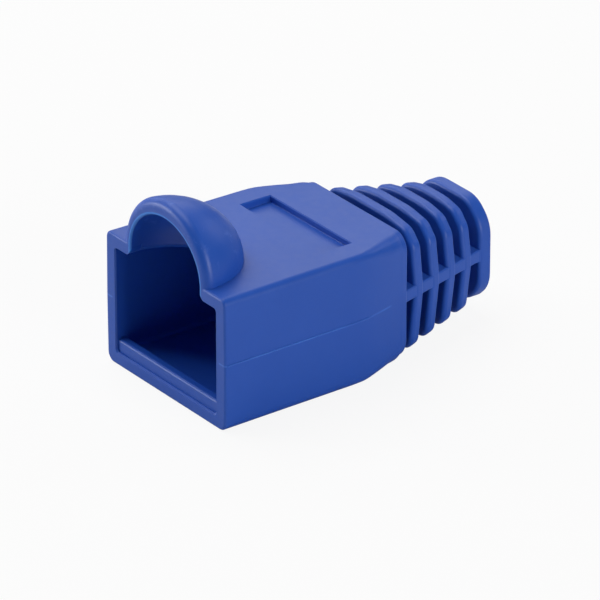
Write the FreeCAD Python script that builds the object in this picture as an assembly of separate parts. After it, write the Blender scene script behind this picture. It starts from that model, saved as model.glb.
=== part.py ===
"""Strain relief boot for a modular data plug: one soft PVC moulding.

Frame: +X across the width, +Y from the open mouth to the cable end, +Z up.
The underside lies in z = 0 and the boot is even about x = 0. The values and
functions below count y from the mouth. The finished solid is then moved so that
the origin is the middle of its footprint. All values are millimetres.
"""
import FreeCAD
import Part
import math
import os

from FreeCAD import Vector

# ---- outer skin -------------------------------------------------------------
LENGTH = 25.2             # mouth to cable end
KINK_Y = 12.2             # where the sides turn inward
KINK_BLEND = 1.3          # reach of the smooth bend on either side of it
BODY_LOFT_END = 15.8      # the plain body runs to here, its last slice is a ring
TAIL_Y = 16.3             # rear of the plain body, where the ribbed tail starts
BLOCK_Y = 24.16           # front of the end block
PARTING_Z = 5.05          # plane where the two mould halves meet
MOUTH_HALF_W = 6.98       # half widths at the parting plane
KINK_HALF_W = 6.85
BLOCK_HALF_W = 3.74
MOUTH_TOP = 9.96          # heights of the top face
KINK_TOP = 9.91
TAIL_TOP = 9.77
BLOCK_TOP = 8.88
BLOCK_BOTTOM = 0.95       # the underside is level along the body, then rises to this
DRAFT = 0.05              # lean of each wall of the body, away from the parting
DRAFT_END_Y = 15.6        # and has faded to nothing here
FLASH_OUT = 0.05          # fine bead that the mould leaves along the parting line
FLASH_HALF = 0.065        # half its thickness
FLASH_ROUND = 0.045
FLASH_START = 0.2
FLASH_SINK = 0.03         # behind the bend it sinks into the skin, down to this depth

TOP_BEVEL = 0.28          # corner bevels of the body, and the rounding of their edges
TOP_ROUND = 0.45
TAIL_TOP_BEVEL = 0.75
TAIL_TOP_ROUND = 1.2
BOTTOM_BEVEL = 0.42
BOTTOM_ROUND = 0.65
TAIL_BOTTOM_BEVEL = 1.05
TAIL_BOTTOM_ROUND = 1.7
MOUTH_ROUND = 0.18        # outer edge of the mouth

# ---- plug pocket --------------------------------------------------------------
POCKET_HALF_W = 5.86
POCKET_FLOOR = 1.0
POCKET_ROOF = 9.1
POCKET_ROUND = 0.3
POCKET_DEPTH = 9.3        # straight part, behind it the pocket narrows
FUNNEL_END = 17.0
FUNNEL_END_HALF = 2.9
FUNNEL_END_ROUND = 2.5
BORE_R = 2.5
BORE_Z = 4.95
BORE_BEVEL = 0.2

SILL_FRONT = 0.2          # raised bar across the floor of the mouth
SILL_BACK = 0.95
SILL_TOP = 1.9
SILL_ROUND = 0.2
FOOT_Z = 8.92             # the roof is thicker at the mouth, down to this height
FOOT_BACK = 0.95
FOOT_ROUND = 0.8          # corner where a foot meets the latch opening
LIP = 0.1                 # bevel round the inner edge of the mouth

# ---- latch hood, half an ellipsoid shell over the mouth ------------------------
HOOD_RADII = (4.9, 5.65, 4.72)
HOOD_BASE = 9.9
HOOD_RIM_ROUND = 0.6
HOOD_SEAT = 0.6           # the hood runs this far down into the roof
HOLLOW_RADII = (4.02, 4.6, 3.62)
HOLLOW_BASE = 9.8
ROOF_EASE = 0.35          # bevel where the hollow opens into the pocket roof

# ---- shallow panel sunk in the top ----------------------------------------------
PANEL_HALF_W = 4.65
PANEL_FRONT = 9.8
PANEL_BACK = 12.3
PANEL_DEPTH = 0.5
PANEL_ROUND = 0.05
PANEL_EASE = 0.08         # bevel round its upper edge

# ---- ribs of the strain relief: open slots above and below two side spines -------
RIBS = 4
GROOVE_WIDTH = 0.86
PITCH = 1.75
SPINE_HALF = 0.46         # half thickness of the spines that join the ribs
SPINE_SINK = 0.03
SPINE_ROUND = 0.12
CROWN_DROP = 0.36         # the top of a rib falls this much from crest to brow
BROW_IN = 1.28            # brow and shoulder of a rib, measured in from its side
SHOULDER_IN = 0.38
SHOULDER_DROP = 1.35
CREST_SHARE = 0.45        # half width of the flat crest, as a share of the brow
HEEL_IN = 0.48            # lower corner of a rib
HEEL_BEVEL = 0.62
CREST_ROUND = 6.0
BROW_ROUND = 1.2
SHOULDER_ROUND = 1.0
HEEL_ROUND = 0.95
RIB_FRONT_ROUND = 0.28
RIB_BACK_ROUND = 0.18

# ---- end block --------------------------------------------------------------------
BLOCK_BEVEL = 1.55
BLOCK_ROUND = 2.3
BLOCK_RIM_ROUND = 0.15

REACH = 40.0              # more than the boot in any direction
OVERLAP = 0.4             # parts of the moulding run this far into one another


def mix(a, b, t):
    """Value a share t of the way from a to b."""
    return a + (b - a) * t


def bent_line(y, value, slope_before, slope_after):
    """Value at y of a line through (KINK_Y, value) that bends smoothly there."""
    from_kink = y - KINK_Y
    if from_kink <= -KINK_BLEND:
        return value + slope_before * from_kink
    if from_kink >= KINK_BLEND:
        return value + slope_after * from_kink
    into = from_kink + KINK_BLEND
    bend = (slope_after - slope_before) * into * into / (4 * KINK_BLEND)
    return value + slope_before * from_kink + bend


def rounded_wire(points, radii, y):
    """Closed wire in the plane y through (x, z) points, each corner rounded."""
    corners = [Vector(x, y, z) for x, z in points]
    count = len(corners)
    spans = []
    for i, corner in enumerate(corners):
        into = (corners[i - 1] - corner).normalize()
        out = (corners[(i + 1) % count] - corner).normalize()
        if radii[i] == 0:
            spans.append((corner, corner, corner))
            continue
        half = into.getAngle(out) / 2
        reach = radii[i] / math.tan(half)
        crown = (into + out).normalize() * (radii[i] / math.sin(half) - radii[i])
        spans.append((corner + into * reach, corner + crown, corner + out * reach))
    edges = []
    for i, (start, middle, end) in enumerate(spans):
        if radii[i] > 0:
            edges.append(Part.Arc(start, middle, end).toShape())
        edges.append(Part.makeLine(end, spans[(i + 1) % count][0]))
    return Part.Wire(edges)


def half_width(y):
    """Half width of the outer skin at y, at the parting plane."""
    before = (KINK_HALF_W - MOUTH_HALF_W) / KINK_Y
    after = (BLOCK_HALF_W - KINK_HALF_W) / (BLOCK_Y - KINK_Y)
    return bent_line(y, KINK_HALF_W, before, after)


def top_at(y):
    """Height of the top of the outer skin at y."""
    if y <= TAIL_Y:
        before = (KINK_TOP - MOUTH_TOP) / KINK_Y
        after = (TAIL_TOP - KINK_TOP) / (TAIL_Y - KINK_Y)
        return bent_line(y, KINK_TOP, before, after)
    return mix(TAIL_TOP, BLOCK_TOP, (y - TAIL_Y) / (BLOCK_Y - TAIL_Y))


def bottom_at(y):
    """Height of the underside at y."""
    return BLOCK_BOTTOM * max(0.0, y - TAIL_Y) / (BLOCK_Y - TAIL_Y)


def half_section(y, upper):
    """Outline of one mould half of the body at y, from parting to parting."""
    wall = half_width(y)
    fade = min(1.0, max(0.0, (DRAFT_END_Y - y) / (DRAFT_END_Y - KINK_Y)))
    taper = max(0.0, (y - KINK_Y) / (TAIL_Y - KINK_Y))
    if upper:
        face_z, inward = top_at(y), -1
        bevel = mix(TOP_BEVEL, TAIL_TOP_BEVEL, taper)
        rounding = mix(TOP_ROUND, TAIL_TOP_ROUND, taper)
    else:
        face_z, inward = 0.0, 1
        bevel = mix(BOTTOM_BEVEL, TAIL_BOTTOM_BEVEL, taper)
        rounding = mix(BOTTOM_ROUND, TAIL_BOTTOM_ROUND, taper)
    lean = wall - DRAFT * fade
    shoulder = face_z + inward * bevel
    points = [(wall, PARTING_Z), (lean, shoulder), (lean - bevel, face_z),
              (bevel - lean, face_z), (-lean, shoulder), (-wall, PARTING_Z)]
    return rounded_wire(points, [0, rounding, rounding, rounding, rounding, 0], y)


def even_wire(right, radii, y):
    """Closed wire, even about x = 0, from its right half listed upward."""
    left = [(-x, z) for x, z in reversed(right)]
    return rounded_wire(right + left, radii + radii[::-1], y)


def flash_section(y, out):
    """Outline of the plate whose edges are the flash, standing out of the skin at y."""
    side = half_width(y) + out
    right = [(side, PARTING_Z - FLASH_HALF), (side, PARTING_Z + FLASH_HALF)]
    return even_wire(right, [FLASH_ROUND] * 2, y)


def body_section(y):
    """Full outline of the rear of the plain body at y."""
    wall, top = half_width(y), top_at(y)
    right = [(wall - TAIL_BOTTOM_BEVEL, 0.0), (wall, TAIL_BOTTOM_BEVEL),
             (wall, top - TAIL_TOP_BEVEL), (wall - TAIL_TOP_BEVEL, top)]
    return even_wire(right, [TAIL_BOTTOM_ROUND] * 2 + [TAIL_TOP_ROUND] * 2, y)


def rib_section(y):
    """Outline of a rib at y: crowned on top, its sides leaning out to the spine."""
    wall, top, bottom = half_width(y), top_at(y), bottom_at(y)
    brow = wall - BROW_IN
    heel = wall - HEEL_IN
    right = [(heel - HEEL_BEVEL, bottom), (heel, bottom + HEEL_BEVEL),
             (wall, PARTING_Z - SPINE_HALF), (wall, PARTING_Z + SPINE_HALF),
             (wall - SHOULDER_IN, top - SHOULDER_DROP), (brow, top - CROWN_DROP),
             (brow * CREST_SHARE, top)]
    radii = [HEEL_ROUND, HEEL_ROUND, SPINE_HALF, SPINE_HALF, SHOULDER_ROUND, BROW_ROUND, CREST_ROUND]
    return even_wire(right, radii, y)


def block_section(y):
    """Outline of the end block, an upright square with large round corners."""
    side = BLOCK_HALF_W
    right = [(side - BLOCK_BEVEL, BLOCK_BOTTOM), (side, BLOCK_BOTTOM + BLOCK_BEVEL),
             (side, BLOCK_TOP - BLOCK_BEVEL), (side - BLOCK_BEVEL, BLOCK_TOP)]
    return even_wire(right, [BLOCK_ROUND] * 4, y)


def stations(start, end):
    """Section places along y, close together where the skin bends."""
    step = KINK_BLEND / 2
    bend = [KINK_Y + step * k for k in range(-4, 5)]
    even = [start + k for k in range(int(end - start) + 1)]
    even = [y for y in even if abs(y - KINK_Y) > 2.5 * KINK_BLEND and end - y > 0.4]
    return sorted(even + bend + [end])


def outline_edges(shape, y):
    """Edges of a shape in the plane y, without those in the parting plane."""
    flat = [e for e in shape.Edges if all(abs(v.Y - y) < 1e-4 for v in e.Vertexes)]
    return [e for e in flat if not all(abs(v.Z - PARTING_Z) < 1e-4 for v in e.Vertexes)]


def box(low, high):
    """Box between two opposite corners."""
    size = Vector(*high) - Vector(*low)
    return Part.makeBox(size.x, size.y, size.z, Vector(*low))


def ellipsoid(radii, centre):
    """Ellipsoid with its axes along X, Y and Z."""
    stretch = FreeCAD.Matrix()
    stretch.scale(*radii)
    ball = Part.makeSphere(1.0).transformGeometry(stretch)
    ball.translate(Vector(*centre))
    return ball


def bar(profile, rounds, half_width):
    """Bar along X whose (y, z) profile has rounded corners."""
    outline = rounded_wire(profile, rounds, 0.0)
    prism = Part.Face(outline).extrude(Vector(0, 2 * half_width, 0))
    prism.translate(Vector(0, -half_width, 0))
    prism.rotate(Vector(0, 0, 0), Vector(0, 0, 1), 90)
    return prism.mirror(Vector(0, 0, 0), Vector(1, 0, 0))


def body_half(upper):
    """One mould half of the plain body, rounded at the mouth."""
    sections = [half_section(y, upper) for y in stations(0.0, BODY_LOFT_END)]
    half = Part.makeLoft(sections, True, False)
    return half.makeFillet(MOUTH_ROUND, outline_edges(half, 0.0))


def flash():
    """Plate through the body: its edges are the flash along the parting line."""
    bend = [KINK_Y - KINK_BLEND, KINK_Y - KINK_BLEND / 2, KINK_Y]
    sections = [flash_section(y, FLASH_OUT) for y in [FLASH_START] + bend]
    sections.append(flash_section(KINK_Y + KINK_BLEND, -FLASH_SINK))
    return Part.makeLoft(sections, True, True)


def ring(section, start, end, front_round, back_round):
    """One full-width slice of the tail with rounded rims."""
    piece = Part.makeLoft([section(start), section(end)], True, True)
    if front_round > 0:
        piece = piece.makeFillet(front_round, outline_edges(piece, start))
    return piece.makeFillet(back_round, outline_edges(piece, end))


def spines():
    """Flat bar through the tail: its edges are the spines at either side."""
    ends = (TAIL_Y - OVERLAP, LENGTH - OVERLAP)
    reach = [half_width(y) - SPINE_SINK for y in (ends[0], BLOCK_Y)]
    plan = [Vector(-reach[0], ends[0], 0), Vector(reach[0], ends[0], 0),
            Vector(reach[1], BLOCK_Y, 0), Vector(reach[1], ends[1], 0),
            Vector(-reach[1], ends[1], 0), Vector(-reach[1], BLOCK_Y, 0)]
    plate = Part.Face(Part.makePolygon(plan + plan[:1])).extrude(Vector(0, 0, 2 * SPINE_HALF))
    plate.translate(Vector(0, 0, PARTING_Z - SPINE_HALF))
    long_edges = [e for e in plate.Edges
                  if abs(e.Vertexes[0].Z - e.Vertexes[1].Z) < 1e-6
                  and abs(e.Vertexes[0].Y - e.Vertexes[1].Y) > 1]
    return plate.makeFillet(SPINE_ROUND, long_edges)


def tail():
    """Body end, ribs, end block and the spines that carry them."""
    pieces = [ring(body_section, BODY_LOFT_END, TAIL_Y, 0, RIB_BACK_ROUND)]
    for k in range(RIBS):
        start = TAIL_Y + PITCH * k + GROOVE_WIDTH
        end = TAIL_Y + PITCH * (k + 1)
        pieces.append(ring(rib_section, start, end, RIB_FRONT_ROUND, RIB_BACK_ROUND))
    pieces.append(ring(block_section, BLOCK_Y, LENGTH, RIB_FRONT_ROUND, BLOCK_RIM_ROUND))
    pieces.append(spines())
    return pieces[0].multiFuse(pieces[1:])


def pocket_outline(y, half_w, floor, roof, rounding):
    """Four-cornered outline of the pocket in the plane y."""
    points = [(-half_w, floor), (half_w, floor), (half_w, roof), (-half_w, roof)]
    return rounded_wire(points, [rounding] * 4, y)


def pocket():
    """Space for the plug, the funnel behind it and the cable bore."""
    sizes = (POCKET_HALF_W, POCKET_FLOOR, POCKET_ROOF, POCKET_ROUND)
    straight = Part.Face(pocket_outline(-1.0, *sizes)).extrude(Vector(0, POCKET_DEPTH + 1.0, 0))
    narrow = pocket_outline(FUNNEL_END, FUNNEL_END_HALF, BORE_Z - FUNNEL_END_HALF,
                            BORE_Z + FUNNEL_END_HALF, FUNNEL_END_ROUND)
    funnel = Part.makeLoft([pocket_outline(POCKET_DEPTH, *sizes), narrow], True, True)
    along = Vector(0, 1, 0)
    bore_start = FUNNEL_END - 1.0
    bore = Part.makeCylinder(BORE_R, LENGTH - bore_start + 1.0, Vector(0, bore_start, BORE_Z), along)
    lead = Part.makeCone(BORE_R, BORE_R + 2 * BORE_BEVEL, 2 * BORE_BEVEL,
                         Vector(0, LENGTH - BORE_BEVEL, BORE_Z), along)
    return straight.multiFuse([funnel, bore, lead])


def sill():
    """Raised bar on the pocket floor just inside the mouth."""
    low = POCKET_FLOOR - OVERLAP
    profile = [(SILL_FRONT, low), (SILL_BACK, low),
               (SILL_BACK, SILL_TOP), (SILL_FRONT, SILL_TOP)]
    return bar(profile, [0, 0, SILL_ROUND, SILL_ROUND], POCKET_HALF_W + OVERLAP)


def feet():
    """The two feet of the latch hood, where the roof is thicker at the mouth."""
    inner, outer = HOLLOW_RADII[0], POCKET_HALF_W + OVERLAP
    right = box((inner, 0, FOOT_Z), (outer, FOOT_BACK, POCKET_ROOF + OVERLAP))
    return [right, right.mirror(Vector(0, 0, 0), Vector(1, 0, 0))]


def foot_ease():
    """Cutters that round the corner where each foot meets the latch opening."""
    corner = Vector(HOLLOW_RADII[0], -OVERLAP, FOOT_Z)
    centre = corner + Vector(FOOT_ROUND, 0, FOOT_ROUND)
    block = box((corner.x - OVERLAP, corner.y, corner.z - OVERLAP),
                (centre.x, FOOT_BACK, centre.z))
    post = Part.makeCylinder(FOOT_ROUND, OVERLAP + FOOT_BACK, centre, Vector(0, 1, 0))
    right = block.cut(post)
    return [right, right.mirror(Vector(0, 0, 0), Vector(1, 0, 0))]


def hood():
    """Outer form of the latch hood, with its arch rounded over."""
    low = HOOD_BASE - HOOD_SEAT
    half = ellipsoid(HOOD_RADII, (0, 0, HOOD_BASE))
    half = half.common(box((-REACH, 0, low), (REACH, REACH, REACH)))
    arch = [e for e in half.Edges
            if all(abs(v.Y) < 1e-4 for v in e.Vertexes)
            and not all(abs(v.Z - low) < 1e-4 for v in e.Vertexes)]
    return half.makeFillet(HOOD_RIM_ROUND, arch)


def flat_oval(wide, deep, z):
    """Closed level ellipse about the Z axis, given its half sizes along X and Y."""
    middle = Vector(0, 0, z)
    oval = Part.Ellipse(middle + Vector(0, deep, 0), middle + Vector(wide, 0, 0), middle)
    return Part.Wire(oval.toShape())


def hollow():
    """Room inside the hood, open to the mouth and down into the pocket."""
    wide, deep = HOLLOW_RADII[0], HOLLOW_RADII[1]
    dome = ellipsoid(HOLLOW_RADII, (0, 0, HOLLOW_BASE))
    dome = dome.common(box((-REACH, -REACH, HOLLOW_BASE), (REACH, REACH, REACH)))
    low = FOOT_Z - OVERLAP
    neck = Part.Face(flat_oval(wide, deep, low)).extrude(Vector(0, 0, HOLLOW_BASE - low))
    return dome.fuse(neck)


def roof_ease():
    """Bevel of the roof edge behind the feet, where the hollow opens into the pocket."""
    wide, deep = HOLLOW_RADII[0], HOLLOW_RADII[1]
    spread = 2 * ROOF_EASE
    cone = Part.makeLoft([flat_oval(wide + spread, deep + spread, POCKET_ROOF - ROOF_EASE),
                          flat_oval(wide, deep, POCKET_ROOF + ROOF_EASE)], True, True)
    return cone.common(box((-REACH, FOOT_BACK, 0), (REACH, REACH, REACH)))


def flare_ends():
    """Two places along y and how far a flare has grown there: it meets the mouth at LIP."""
    return (-LIP, 2 * LIP), (3 * LIP, -2 * LIP)


def arch_lip():
    """Bevel round the latch opening: a flare at the arch and one between its legs."""
    ovals = []
    for y, grown in flare_ends():
        middle = Vector(0, y, HOLLOW_BASE)
        side = middle + Vector(HOLLOW_RADII[0] + grown, 0, 0)
        crown = middle + Vector(0, 0, HOLLOW_RADII[2] + grown)
        ovals.append(Part.Wire(Part.Ellipse(side, crown, middle).toShape()))
    low = FOOT_Z - OVERLAP
    (front, wide), (back, narrow) = [(y, HOLLOW_RADII[0] + grown) for y, grown in flare_ends()]
    plan = [Vector(-wide, front, low), Vector(wide, front, low),
            Vector(narrow, back, low), Vector(-narrow, back, low)]
    legs = Part.Face(Part.makePolygon(plan + plan[:1])).extrude(Vector(0, 0, HOLLOW_BASE - low))
    return [Part.makeLoft(ovals, True, True), legs]


def pocket_lip():
    """Bevel round the inner edge of the mouth."""
    outlines = [pocket_outline(y, POCKET_HALF_W + grown, POCKET_FLOOR - grown, FOOT_Z + grown,
                               POCKET_ROUND) for y, grown in flare_ends()]
    return Part.makeLoft(outlines, True, True)


def panel():
    """Cutters for the shallow panel in the top: the panel and its bevelled edge."""
    floor = KINK_TOP - PANEL_DEPTH
    block = box((-PANEL_HALF_W, PANEL_FRONT, floor), (PANEL_HALF_W, PANEL_BACK, MOUTH_TOP + 1.0))
    low = [e for e in block.Edges if min(v.Z for v in e.Vertexes) < KINK_TOP]
    outlines = []
    for level, grown in ((KINK_TOP - PANEL_EASE, 0.0), (KINK_TOP + PANEL_EASE, 2 * PANEL_EASE)):
        wide, front, back = PANEL_HALF_W + grown, PANEL_FRONT - grown, PANEL_BACK + grown
        corners = [Vector(-wide, front, level), Vector(wide, front, level),
                   Vector(wide, back, level), Vector(-wide, back, level)]
        outlines.append(Part.makePolygon(corners + corners[:1]))
    return [block.makeFillet(PANEL_ROUND, low), Part.makeLoft(outlines, True, True)]


def boot():
    """The whole moulding as one solid, moved to its own origin."""
    solid = body_half(True).multiFuse([body_half(False), tail()]).fuse(flash())
    solid = solid.cut(pocket()).multiFuse([hood()] + feet()).cut(foot_ease())
    solid = solid.cut([hollow(), roof_ease(), pocket_lip()] + arch_lip() + panel())
    solid = solid.fuse(sill()).removeSplitter().Solids[0]
    solid.translate(Vector(0, -LENGTH / 2, 0))
    return solid


os.makedirs("parts", exist_ok=True)
boot().exportStep("parts/boot.step")
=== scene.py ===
"""Strain relief boot for a modular data plug: one soft PVC moulding on a white table.

Frame, in metres: +X across the width, +Y from the open mouth to the cable end,
+Z up. The origin is the middle of the boot's footprint.
"""
import logging
import math
from dataclasses import dataclass
from enum import Enum
from typing import Any, Optional, Union

import bpy
from mathutils import Matrix, Vector


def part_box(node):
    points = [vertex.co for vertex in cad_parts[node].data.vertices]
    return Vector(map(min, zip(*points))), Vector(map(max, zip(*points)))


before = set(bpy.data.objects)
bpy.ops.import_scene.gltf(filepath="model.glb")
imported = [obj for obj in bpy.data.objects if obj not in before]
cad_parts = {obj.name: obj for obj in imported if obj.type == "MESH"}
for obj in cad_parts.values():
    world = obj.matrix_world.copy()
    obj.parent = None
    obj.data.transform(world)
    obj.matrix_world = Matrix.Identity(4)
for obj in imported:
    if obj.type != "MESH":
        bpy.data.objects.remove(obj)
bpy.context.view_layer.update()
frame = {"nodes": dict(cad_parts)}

LOG = logging.getLogger("boot")
MM = 0.001
LINE_STRENGTH = 1.4       # above 1 a painted line has a flat middle
SENSOR_WIDTH = 36.0       # of the camera, in millimetres
CLIP_NEAR = 0.01
CLIP_FAR = 10.0

Colour = tuple[float, float, float]
Place = tuple[float, float, float]
Value = Union["Wire", float]
Stop = tuple[float, float]

WHITE: Colour = (1.0, 1.0, 1.0)


# ---- shader maths ---------------------------------------------------------------

class Wire:
    """An output socket of a shader node that can be used in sums and products."""

    def __init__(self, graph: "Graph", socket: Optional[bpy.types.NodeSocket]) -> None:
        """Wrap one output socket.

        Args:
            graph: Node tree that the socket belongs to.
            socket: The output socket, or none for a node that ends the tree.
        """
        self.graph = graph
        self.socket = socket

    def _math(self, operation: str, first: Value, second: Value) -> "Wire":
        """Add one Math node.

        Args:
            operation: Name of the Math node's operation.
            first: Its first value.
            second: Its second value.

        Returns:
            The node's result.
        """
        return self.graph.node("ShaderNodeMath", {"operation": operation}, {0: first, 1: second})

    def __add__(self, other: Value) -> "Wire":
        """Sum of this value and another."""
        return self._math("ADD", self, other)

    def __radd__(self, other: Value) -> "Wire":
        """Sum of another value and this one."""
        return self._math("ADD", other, self)

    def __sub__(self, other: Value) -> "Wire":
        """This value less another."""
        return self._math("SUBTRACT", self, other)

    def __rsub__(self, other: Value) -> "Wire":
        """Another value less this one."""
        return self._math("SUBTRACT", other, self)

    def __mul__(self, other: Value) -> "Wire":
        """Product of this value and another."""
        return self._math("MULTIPLY", self, other)

    def __rmul__(self, other: Value) -> "Wire":
        """Product of another value and this one."""
        return self._math("MULTIPLY", other, self)


class Graph:
    """Node tree of one material or world, filled by way of one method."""

    def __init__(self, tree: bpy.types.NodeTree) -> None:
        """Empty the tree.

        Args:
            tree: Node tree of a material or world.
        """
        self.tree = tree
        self.tree.nodes.clear()

    def node(self, kind: str, settings: Optional[dict[str, Any]] = None,
             inputs: Optional[dict[Union[str, int], Any]] = None,
             output: Union[str, int] = 0) -> Wire:
        """Add one node.

        Args:
            kind: Blender's name for the node type.
            settings: Attributes of the node, set before its sockets. "stops" holds
                the (position, grey) pairs of a colour ramp.
            inputs: Values or wires for its input sockets, by name or number.
            output: Name or number of the output that is returned.

        Returns:
            That output.
        """
        made = self.tree.nodes.new(kind)
        for name, value in (settings or {}).items():
            if name == "stops":
                self._set_stops(made, value)
            else:
                setattr(made, name, value)
        for name, value in (inputs or {}).items():
            if isinstance(value, Wire):
                self.tree.links.new(value.socket, made.inputs[name])
            else:
                made.inputs[name].default_value = value
        return Wire(self, made.outputs[output] if made.outputs else None)

    @staticmethod
    def _set_stops(made: bpy.types.Node, stops: tuple[Stop, ...]) -> None:
        """Give a colour ramp its grey stops.

        Args:
            made: The colour ramp node.
            stops: Position and grey level of each stop.
        """
        elements = made.color_ramp.elements
        while len(elements) < len(stops):
            elements.new(1.0)
        for element, (position, grey) in zip(elements, stops):
            element.position = position
            element.color = (grey, grey, grey, 1.0)


def rgba(colour: Colour) -> tuple[float, float, float, float]:
    """Opaque colour with its alpha."""
    return (*colour, 1.0)


# ---- finishes ---------------------------------------------------------------------

@dataclass(frozen=True)
class Noise:
    """Noise texture: the size of its blotches and its finer layers."""

    size: float
    detail: float
    roughness: float = 0.5

    def at(self, graph: Graph, place: Wire) -> Wire:
        """Add the texture.

        Args:
            graph: Node tree of the material.
            place: Object coordinates.

        Returns:
            Its value, between 0 and 1.
        """
        return graph.node("ShaderNodeTexNoise", {}, {
            "Vector": place, "Scale": 1 / self.size, "Detail": self.detail,
            "Roughness": self.roughness})


def along(graph: Graph, place: Wire, axis: str) -> Wire:
    """Coordinate along one axis."""
    return graph.node("ShaderNodeSeparateXYZ", {}, {0: place}, axis)


def clamped(graph: Graph, value: Wire) -> Wire:
    """Value held between 0 and 1."""
    return graph.node("ShaderNodeClamp", {}, {0: value})


def ramp(graph: Graph, value: Wire, *stops: Stop) -> Wire:
    """Value drawn through the grey stops of a colour ramp."""
    return graph.node("ShaderNodeValToRGB", {"stops": stops}, {"Fac": value})


def blended(graph: Graph, share: Wire, under: Union[Wire, Colour], over: Colour) -> Wire:
    """Add one layer of colour.

    Args:
        graph: Node tree of the material.
        share: How much of the upper colour shows.
        under: Lower colour.
        over: Upper colour.

    Returns:
        The mixed colour.
    """
    lower = under if isinstance(under, Wire) else rgba(under)
    return graph.node("ShaderNodeMix", {"data_type": "RGBA"}, {
        "Factor": share, 6: lower, 7: rgba(over)}, output=2)


def line_across(graph: Graph, offset: Wire) -> Wire:
    """Soft-edged line: full at offset 0 and gone at 1 and -1."""
    return clamped(graph, LINE_STRENGTH - offset * offset * LINE_STRENGTH)


@dataclass(frozen=True)
class FlashHighlight:
    """Painted highlight along the parting line's flash bead, in broken stretches: the bead is in
    the shape, and its pale colour stands in for the light it catches.
    """

    # pale blue painted on as the highlight of the flash bead
    colour: Colour = (0.036, 0.140, 0.56)
    height: float = 5.05 * MM
    half: float = 0.085 * MM
    reach: float = 6.2 * MM
    reach_edge: float = 40.0
    breaks: Noise = Noise(2.2 * MM, 1.0)
    faint: Stop = (0.38, 0.35)
    full: Stop = (0.62, 1.0)

    def mask(self, graph: Graph, place: Wire) -> Wire:
        """Where the painted highlight shows.

        Args:
            graph: Node tree of the material.
            place: Object coordinates.

        Returns:
            Mask between 0 and 1.
        """
        side = along(graph, place, "X") * (1 / self.reach)
        rise = (along(graph, place, "Z") - self.height) * (1 / self.half)
        outside = clamped(graph, (side * side - 1.0) * self.reach_edge)
        stretch = ramp(graph, self.breaks.at(graph, place), self.faint, self.full)
        return line_across(graph, rise) * outside * stretch


@dataclass(frozen=True)
class ArchEdgeHighlight:
    """Painted highlight on the sharp edge round the inside of the latch opening."""

    # pale blue painted on as the edge's highlight
    colour: Colour = (0.030, 0.200, 0.680)
    wide: float = 4.02 * MM
    high: float = 3.62 * MM
    base: float = 9.8 * MM
    edge: float = 1.055
    edge_half: float = 0.065
    share: float = 0.95
    mouth_plane: float = -12.42 * MM
    mouth_fade: float = 0.05 * MM
    foot_level: float = 8.95 * MM
    foot_fade: float = 0.1 * MM

    def mask(self, graph: Graph, place: Wire) -> Wire:
        """Where the painted highlight shows.

        Args:
            graph: Node tree of the material.
            place: Object coordinates.

        Returns:
            Mask between 0 and 1.
        """
        across = along(graph, place, "X") * (1 / self.wide)
        level = along(graph, place, "Z")
        rise = graph.node("ShaderNodeMath", {"operation": "MAXIMUM"}, {
            0: (level - self.base) * (1 / self.high), 1: 0.0})
        past = (across * across + rise * rise - self.edge) * (1 / self.edge_half)
        ahead = (self.mouth_plane - along(graph, place, "Y")) * (1 / self.mouth_fade)
        above = (level - self.foot_level) * (1 / self.foot_fade)
        return (line_across(graph, past) * clamped(graph, ahead) * clamped(graph, above)
                * self.share)


@dataclass(frozen=True)
class HoodHighlights:
    """Small pale patches painted high on the latch hood as its highlights."""

    # pale blue painted on as highlights where the hood's top catches the lamps
    colour: Colour = (0.075, 0.16, 0.56)
    start: float = 10.6 * MM
    fade: float = 1.0 * MM
    patches: Noise = Noise(0.9 * MM, 4.0, 0.7)
    no_glint: Stop = (0.58, 0.0)
    full_glint: Stop = (0.70, 1.0)
    share: float = 0.45

    def mask(self, graph: Graph, place: Wire) -> Wire:
        """Where the painted highlights show.

        Args:
            graph: Node tree of the material.
            place: Object coordinates.

        Returns:
            Mask between 0 and 1.
        """
        high = clamped(graph, (along(graph, place, "Z") - self.start) * (1 / self.fade))
        glints = ramp(graph, self.patches.at(graph, place), self.no_glint, self.full_glint)
        return high * glints * self.share


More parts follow.
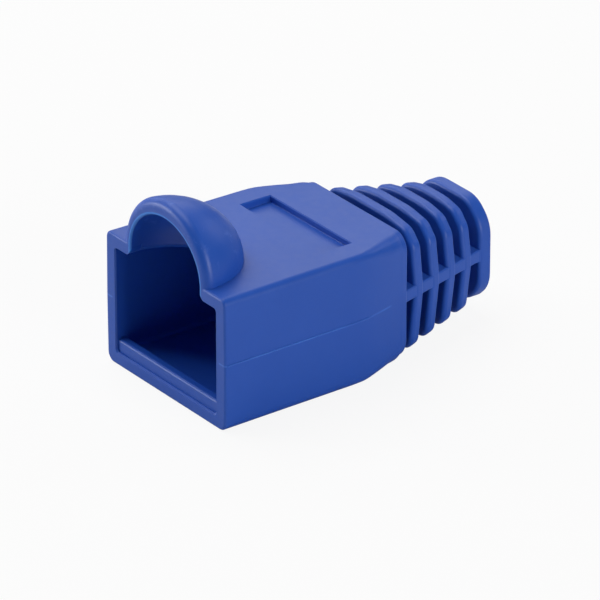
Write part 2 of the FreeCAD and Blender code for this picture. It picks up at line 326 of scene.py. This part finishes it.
@dataclass(frozen=True)
class SoftPvc:
    """Satin moulded PVC: colour drift, fine grain, and pale painted highlights on the parting
    flash, the arch edge and the top of the hood.
    """

    base: Colour = (0.0105, 0.072, 0.405)
    pale: Colour = (0.0145, 0.081, 0.430)
    drift: Noise = Noise(5.0 * MM, 3.0, 0.55)
    drift_share: float = 0.7
    speck: Noise = Noise(0.16 * MM / 0.3, 2.0, 0.6)
    speck_share: float = 0.3
    darkest: Stop = (0.3, 0.0)
    palest: Stop = (0.7, 1.0)
    grain: Noise = Noise(0.16 * MM, 2.0)
    grain_height: float = 0.0035 * MM
    roughness: float = 0.42
    roughness_drift: float = 0.08
    specular: float = 0.38
    ior: float = 1.5
    # pale colours painted over the blue as highlights
    highlight_layers: tuple[Union[HoodHighlights, FlashHighlight, ArchEdgeHighlight], ...] = (
        HoodHighlights(), FlashHighlight(), ArchEdgeHighlight())

    def _colour(self, graph: Graph, place: Wire, drift: Wire, speck: Wire) -> Wire:
        """Blue that drifts a little, with the painted highlights laid over it.

        Args:
            graph: Node tree of the material.
            place: Object coordinates.
            drift: Broad noise.
            speck: Fine noise.

        Returns:
            The colour.
        """
        shade = ramp(graph, drift * self.drift_share + speck * self.speck_share,
                     self.darkest, self.palest)
        colour = blended(graph, shade, self.base, self.pale)
        # lay each painted highlight over the blue
        for highlight_layer in self.highlight_layers:
            colour = blended(graph, highlight_layer.mask(graph, place), colour, highlight_layer.colour)
        return colour

    def make(self, name: str) -> bpy.types.Material:
        """Build the material.

        Args:
            name: Name of the new material.

        Returns:
            The material.
        """
        material = bpy.data.materials.new(name)
        material.use_nodes = True
        graph = Graph(material.node_tree)
        place = graph.node("ShaderNodeTexCoord", output="Object")
        drift = self.drift.at(graph, place)
        speck = self.speck.at(graph, place)
        rough = self.roughness + (speck - 0.5) * (2 * self.roughness_drift)
        bump = graph.node("ShaderNodeBump", {}, {
            "Strength": 1.0, "Distance": self.grain_height,
            "Height": self.grain.at(graph, place)})
        shader = graph.node("ShaderNodeBsdfPrincipled", {}, {
            "Base Color": self._colour(graph, place, drift, speck), "Roughness": rough,
            "Normal": bump, "Specular IOR Level": self.specular, "IOR": self.ior})
        graph.node("ShaderNodeOutputMaterial", {}, {"Surface": shader})
        return material


@dataclass(frozen=True)
class TableWhite:
    """Matt white table top that keeps a faint shadow and melts into a white ground."""

    paint: Colour = (0.70, 0.70, 0.70)
    ground: Colour = WHITE
    ground_share: float = 0.90

    def make(self, name: str) -> bpy.types.Material:
        """Build the material.

        Args:
            name: Name of the new material.

        Returns:
            The material.
        """
        material = bpy.data.materials.new(name)
        material.use_nodes = True
        graph = Graph(material.node_tree)
        paint = graph.node("ShaderNodeBsdfDiffuse", {}, {"Color": rgba(self.paint)})
        ground = graph.node("ShaderNodeEmission", {}, {
            "Color": rgba(self.ground), "Strength": 1.0})
        camera_ray = graph.node("ShaderNodeLightPath", output="Is Camera Ray")
        mixed = graph.node("ShaderNodeMixShader", {}, {
            "Fac": camera_ray * self.ground_share, 1: paint, 2: ground})
        graph.node("ShaderNodeOutputMaterial", {}, {"Surface": mixed})
        return material


# ---- the boot -----------------------------------------------------------------------

@dataclass
class BootSkin:
    """The moulding itself: the CAD node with the finish of soft PVC."""

    node: str = "boot"
    finish: SoftPvc = SoftPvc()

    def dress(self, nodes: dict[str, bpy.types.Object]) -> bpy.types.Object:
        """Give the CAD node its material.

        Args:
            nodes: CAD nodes by name.

        Returns:
            The dressed node.
        """
        piece = nodes[self.node]
        material = self.finish.make("soft_pvc_satin")
        for slot in piece.material_slots:
            slot.material = material
        return piece


# ---- studio ---------------------------------------------------------------------------

class LampRole(Enum):
    """What a lamp does in the studio."""

    KEY = "key"
    LEFT = "left"
    FRONT = "front"
    RIGHT = "right"
    BACK_LEFT = "back_left"
    BACK = "back"


@dataclass(frozen=True)
class Lamp:
    """Square soft box that faces the boot."""

    role: LampRole
    place: Place
    size: float
    power: float

    def make(self, aim: Vector) -> bpy.types.Object:
        """Hang the lamp.

        Args:
            aim: Point that it faces.

        Returns:
            The lamp.
        """
        light = bpy.data.lights.new("lamp_" + self.role.value, "AREA")
        light.size = self.size
        light.energy = self.power
        lamp = bpy.data.objects.new(light.name, light)
        bpy.context.scene.collection.objects.link(lamp)
        lamp.location = Vector(self.place)
        lamp.rotation_euler = (aim - lamp.location).to_track_quat("-Z", "Y").to_euler()
        return lamp


@dataclass
class Studio:
    """Table, lamps and the light of the room."""

    table_half: float = 0.6
    table_drop: float = 0.02 * MM
    table_finish: TableWhite = TableWhite()
    room_light: float = 0.06
    lamps: tuple[Lamp, ...] = (
        Lamp(LampRole.KEY, (-0.16, -0.05, 0.40), 0.34, 1.34),
        Lamp(LampRole.LEFT, (-0.45, 0.0, 0.20), 0.25, 0.35),
        Lamp(LampRole.FRONT, (-0.34, -0.30, 0.06), 0.18, 1.16),
        Lamp(LampRole.RIGHT, (0.45, 0.05, 0.14), 0.22, 1.25),
        Lamp(LampRole.BACK_LEFT, (-0.32, 0.25, 0.26), 0.28, 0.40),
        Lamp(LampRole.BACK, (0.0, 0.45, 0.25), 0.25, 0.30),
    )

    def lay_table(self) -> bpy.types.Object:
        """Put the white table top under the boot.

        Returns:
            The table.
        """
        bpy.ops.object.select_all(action="DESELECT")
        bpy.ops.mesh.primitive_plane_add(size=2 * self.table_half,
                                         location=(0, 0, -self.table_drop))
        table = bpy.context.active_object
        table.name = "table"
        table.data.materials.append(self.table_finish.make("table_white"))
        return table

    def light_room(self) -> None:
        """Make the room a plain white that the camera sees at full white."""
        world = bpy.data.worlds.new("room")
        world.use_nodes = True
        bpy.context.scene.world = world
        graph = Graph(world.node_tree)
        camera_ray = graph.node("ShaderNodeLightPath", output="Is Camera Ray")
        strength = self.room_light + camera_ray * (1.0 - self.room_light)
        ground = graph.node("ShaderNodeBackground", {}, {
            "Color": rgba(WHITE), "Strength": strength})
        graph.node("ShaderNodeOutputWorld", {}, {"Surface": ground})

    def make(self, aim: Vector) -> None:
        """Set up the whole studio.

        Args:
            aim: Point that the lamps face.
        """
        self.lay_table()
        self.light_room()
        for lamp in self.lamps:
            lamp.make(aim)
            LOG.info("lamp %s at %s", lamp.role.value, lamp.place)


@dataclass(frozen=True)
class Viewpoint:
    """Camera that looks down on the mouth and the right side of the boot."""

    azimuth: float = 53.557
    elevation: float = 26.488
    distance: float = 450.0 * MM
    aim: Place = (0.0, -2.6 * MM, 5.0 * MM)
    right: float = 1.1333 * MM
    up: float = -0.5752 * MM
    lens: float = 392.34

    def make(self) -> bpy.types.Object:
        """Create the camera and make it the scene's own.

        Returns:
            The camera.
        """
        turn, rise = math.radians(self.azimuth), math.radians(self.elevation)
        back = Vector((math.sin(turn) * math.cos(rise), -math.cos(turn) * math.cos(rise),
                       math.sin(rise)))
        right = Vector((math.cos(turn), math.sin(turn), 0.0))
        up = back.cross(right)
        data = bpy.data.cameras.new("camera")
        data.sensor_width = SENSOR_WIDTH
        data.lens = self.lens
        data.clip_start = CLIP_NEAR
        data.clip_end = CLIP_FAR
        camera = bpy.data.objects.new("camera", data)
        bpy.context.scene.collection.objects.link(camera)
        pose = Matrix((right, up, back)).transposed().to_4x4()
        pose.translation = (Vector(self.aim) + right * self.right + up * self.up
                            + back * self.distance)
        camera.matrix_world = pose
        bpy.context.scene.camera = camera
        return camera


def main() -> None:
    """Build the scene piece by piece."""
    logging.basicConfig(level=logging.INFO)
    bpy.context.scene.view_settings.view_transform = "Standard"
    skin = BootSkin().dress(frame["nodes"])
    LOG.info("dressed %s", skin.name)
    low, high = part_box("boot")
    Studio().make((low + high) / 2)
    Viewpoint().make()


if __name__ == "__main__":
    main()
